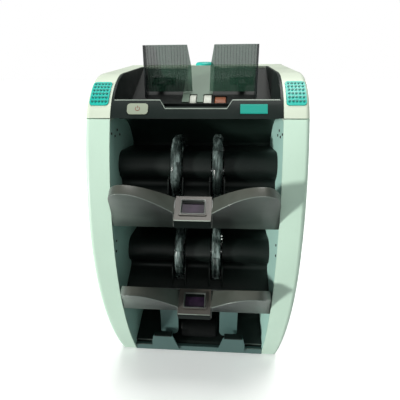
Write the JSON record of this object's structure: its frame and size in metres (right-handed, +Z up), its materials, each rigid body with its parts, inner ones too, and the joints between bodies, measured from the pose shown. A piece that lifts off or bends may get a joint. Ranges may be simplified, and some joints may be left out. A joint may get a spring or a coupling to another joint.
{
  "type": "banknote counter",
  "caption": "Desktop banknote counter and sorter: top hopper with ribbed guides, stacker pockets with vaned wheels and gull-wing trays, and an open reject pocket.",
  "frame": {"origin": "on the ground under the middle of the machine", "axes": "+Z up, -Y towards the user at the front, X across the machine"},
  "size_m": [0.27, 0.333, 0.453],
  "materials": {
    "panel_white": "fine satin texture",
    "cover_cream": "fine satin texture",
    "wall_grey_teal": "satin",
    "charcoal": "satin",
    "gloss_black": "polished",
    "smoke_tray": "satin, smoky",
    "smoke_wheel": "flexible, satin",
    "smoke_clear": "ribbed, smoked clear",
    "teal": "satin",
    "button_white": "satin",
    "light_grey": "satin",
    "roller_white": "smooth rubber",
    "roller_orange": "smooth rubber",
    "display_glass": "polished window",
    "steel": "turned or bright zinc",
    "dark_rubber": "matt",
    "roller_grey": "satin",
    "motor_black": "semi-gloss",
    "board_green": "solder mask",
    "part_black": "matt moulded"
  },
  "bodies": {
    "root": {"left_side_panel": "panel_white", "right_side_panel": "panel_white", "pocket_side_walls": "wall_grey_teal", "frame_plates": "steel", "tie_rods": "steel", "base_tray": "light_grey", "rubber_feet": "dark_rubber", "rear_cover": "panel_white", "rear_top_cap": "cover_cream", "hinge_pins": "steel", "pocket_back_walls": "gloss_black", "pocket_hoods": "gloss_black", "tray_1": "smoke_tray", "tray_2": "smoke_tray", "display_bezels": "smoke_tray", "display_lenses": "display_glass", "circuit_boards": "board_green", "reject_floor": "gloss_black", "reject_centre_cover": "gloss_black", "reject_stops": "light_grey", "shaft_bearings": "steel", "transport_belts": "dark_rubber", "timing_belts": "dark_rubber", "drive_motor": "motor_black", "gate_solenoids": "motor_black", "power_supply": "board_green", "note_sensor_bar": "part_black", "power_inlet": "part_black", "fan_frame": "part_black"},
    "top_module": {"top_cover": "cover_cream", "hopper_bezel": "charcoal", "label_plate": "teal", "hopper_well": "gloss_black", "hopper_back_plate": "light_grey", "guide_rail": "steel", "feed_motor": "motor_black"},
    "left_latch": {"left_latch_pad": "teal"},
    "right_latch": {"right_latch_pad": "teal"},
    "power_key": {"power_button": "button_white"},
    "left_guide": {"left_guide_plate": "smoke_clear"},
    "right_guide": {"right_guide_plate": "smoke_clear"},
    "gap_knob": {"feed_gap_knob": "teal"},
    "pickup": {"pickup_shaft": "steel", "pickup_rollers": "roller_white", "feed_roller": "roller_orange"},
    "stacker_1": {"stacker_1_wheels": "smoke_wheel", "stacker_1_shaft": "steel"},
    "stacker_2": {"stacker_2_wheels": "smoke_wheel", "stacker_2_shaft": "steel"},
    "drum_1": {"transport_drum_1": "roller_grey"},
    "drum_2": {"transport_drum_2": "roller_grey"},
    "pinch_1": {"pinch_roller_1": "dark_rubber"},
    "pinch_2": {"pinch_roller_2": "dark_rubber"},
    "motor_rotor": {"motor_pulley": "steel"},
    "gate_1": {"diverter_gate_1": "roller_grey"},
    "gate_2": {"diverter_gate_2": "roller_grey"},
    "flaps": {"reject_flaps": "light_grey"},
    "door": {"rear_door": "panel_white"},
    "switch_rocker": {"power_switch_rocker": "part_black"},
    "fan": {"fan_rotor": "part_black"}
  },
  "joints": [
    {"name": "lid_hinge", "type": "hinge", "parent": "root", "child": "top_module", "pos_m": [0, 0.1535, 0.415], "axis": [-1, 0, 0], "range_deg": [0, 62]},
    {"name": "left_latch_press", "type": "slide", "parent": "top_module", "child": "left_latch", "axis": [0, 0.5955, -0.8033], "range_m": [0, 0.0025], "stiffness_N_per_m": 500},
    {"name": "right_latch_press", "type": "slide", "parent": "top_module", "child": "right_latch", "axis": [0, 0.5955, -0.8033], "range_m": [0, 0.0025], "stiffness_N_per_m": 500},
    {"name": "power_press", "type": "slide", "parent": "top_module", "child": "power_key", "axis": [0, 0.7846, -0.62], "range_m": [0, 0.0012], "stiffness_N_per_m": 400},
    {"name": "left_guide_slide", "type": "slide", "parent": "top_module", "child": "left_guide", "axis": [1, 0, 0], "range_m": [-0.01, 0.01]},
    {"name": "right_guide_slide", "type": "slide", "parent": "top_module", "child": "right_guide", "axis": [1, 0, 0], "range_m": [-0.01, 0.01]},
    {"name": "gap_knob_turn", "type": "hinge", "parent": "top_module", "child": "gap_knob", "pos_m": [0, 0.1315, 0.42], "axis": [0, 0, 1], "range_deg": [-150, 150]},
    {"name": "pickup_spin", "type": "hinge", "parent": "top_module", "child": "pickup", "pos_m": [0, 0.0215, 0.367], "axis": [1, 0, 0], "continuous": true},
    {"name": "drum_1_spin", "type": "hinge", "parent": "root", "child": "drum_1", "pos_m": [0, 0.0815, 0.3], "axis": [1, 0, 0], "continuous": true},
    {"name": "drum_2_spin", "type": "hinge", "parent": "root", "child": "drum_2", "pos_m": [0, 0.0815, 0.15], "axis": [1, 0, 0], "continuous": true},
    {"name": "stacker_1_spin", "type": "hinge", "parent": "root", "child": "stacker_1", "pos_m": [0, -0.0385, 0.298], "axis": [1, 0, 0], "continuous": true},
    {"name": "stacker_2_spin", "type": "hinge", "parent": "root", "child": "stacker_2", "pos_m": [0, -0.0455, 0.1665], "axis": [1, 0, 0], "continuous": true},
    {"name": "pinch_1_spin", "type": "hinge", "parent": "root", "child": "pinch_1", "pos_m": [0, 0.1183, 0.3], "axis": [1, 0, 0], "continuous": true},
    {"name": "pinch_2_spin", "type": "hinge", "parent": "root", "child": "pinch_2", "pos_m": [0, 0.1183, 0.15], "axis": [1, 0, 0], "continuous": true},
    {"name": "motor_spin", "type": "hinge", "parent": "root", "child": "motor_rotor", "pos_m": [0, 0.0415, 0.062], "axis": [1, 0, 0], "continuous": true},
    {"name": "gate_1_swing", "type": "hinge", "parent": "root", "child": "gate_1", "pos_m": [0, 0.0375, 0.3], "axis": [1, 0, 0], "range_deg": [-12, 12]},
    {"name": "gate_2_swing", "type": "hinge", "parent": "root", "child": "gate_2", "pos_m": [0, 0.0315, 0.176], "axis": [1, 0, 0], "range_deg": [-12, 12]},
    {"name": "flap_swing", "type": "hinge", "parent": "root", "child": "flaps", "pos_m": [0, -0.0805, 0.114], "axis": [1, 0, 0], "range_deg": [-4, 30]},
    {"name": "door_hinge", "type": "hinge", "parent": "root", "child": "door", "pos_m": [0, 0.1635, 0.124], "axis": [-1, 0, 0], "range_deg": [0, 90]},
    {"name": "switch_rock", "type": "hinge", "parent": "root", "child": "switch_rocker", "pos_m": [-0.022, 0.1605, 0.048], "axis": [1, 0, 0], "range_deg": [-8, 8]},
    {"name": "fan_spin", "type": "hinge", "parent": "root", "child": "fan", "pos_m": [0.058, 0.1639, 0.062], "axis": [0, 1, 0], "continuous": true}
  ],
  "couplings": [
    {"joint": "right_guide_slide", "follows": "left_guide_slide", "ratio": -1},
    {"joint": "drum_2_spin", "follows": "drum_1_spin", "ratio": 1},
    {"joint": "motor_spin", "follows": "drum_1_spin", "ratio": 2},
    {"joint": "stacker_1_spin", "follows": "drum_1_spin", "ratio": 0.66667},
    {"joint": "stacker_2_spin", "follows": "drum_1_spin", "ratio": 0.66667},
    {"joint": "pinch_1_spin", "follows": "drum_1_spin", "ratio": -3.0222},
    {"joint": "pinch_2_spin", "follows": "drum_1_spin", "ratio": -3.0222}
  ]
}
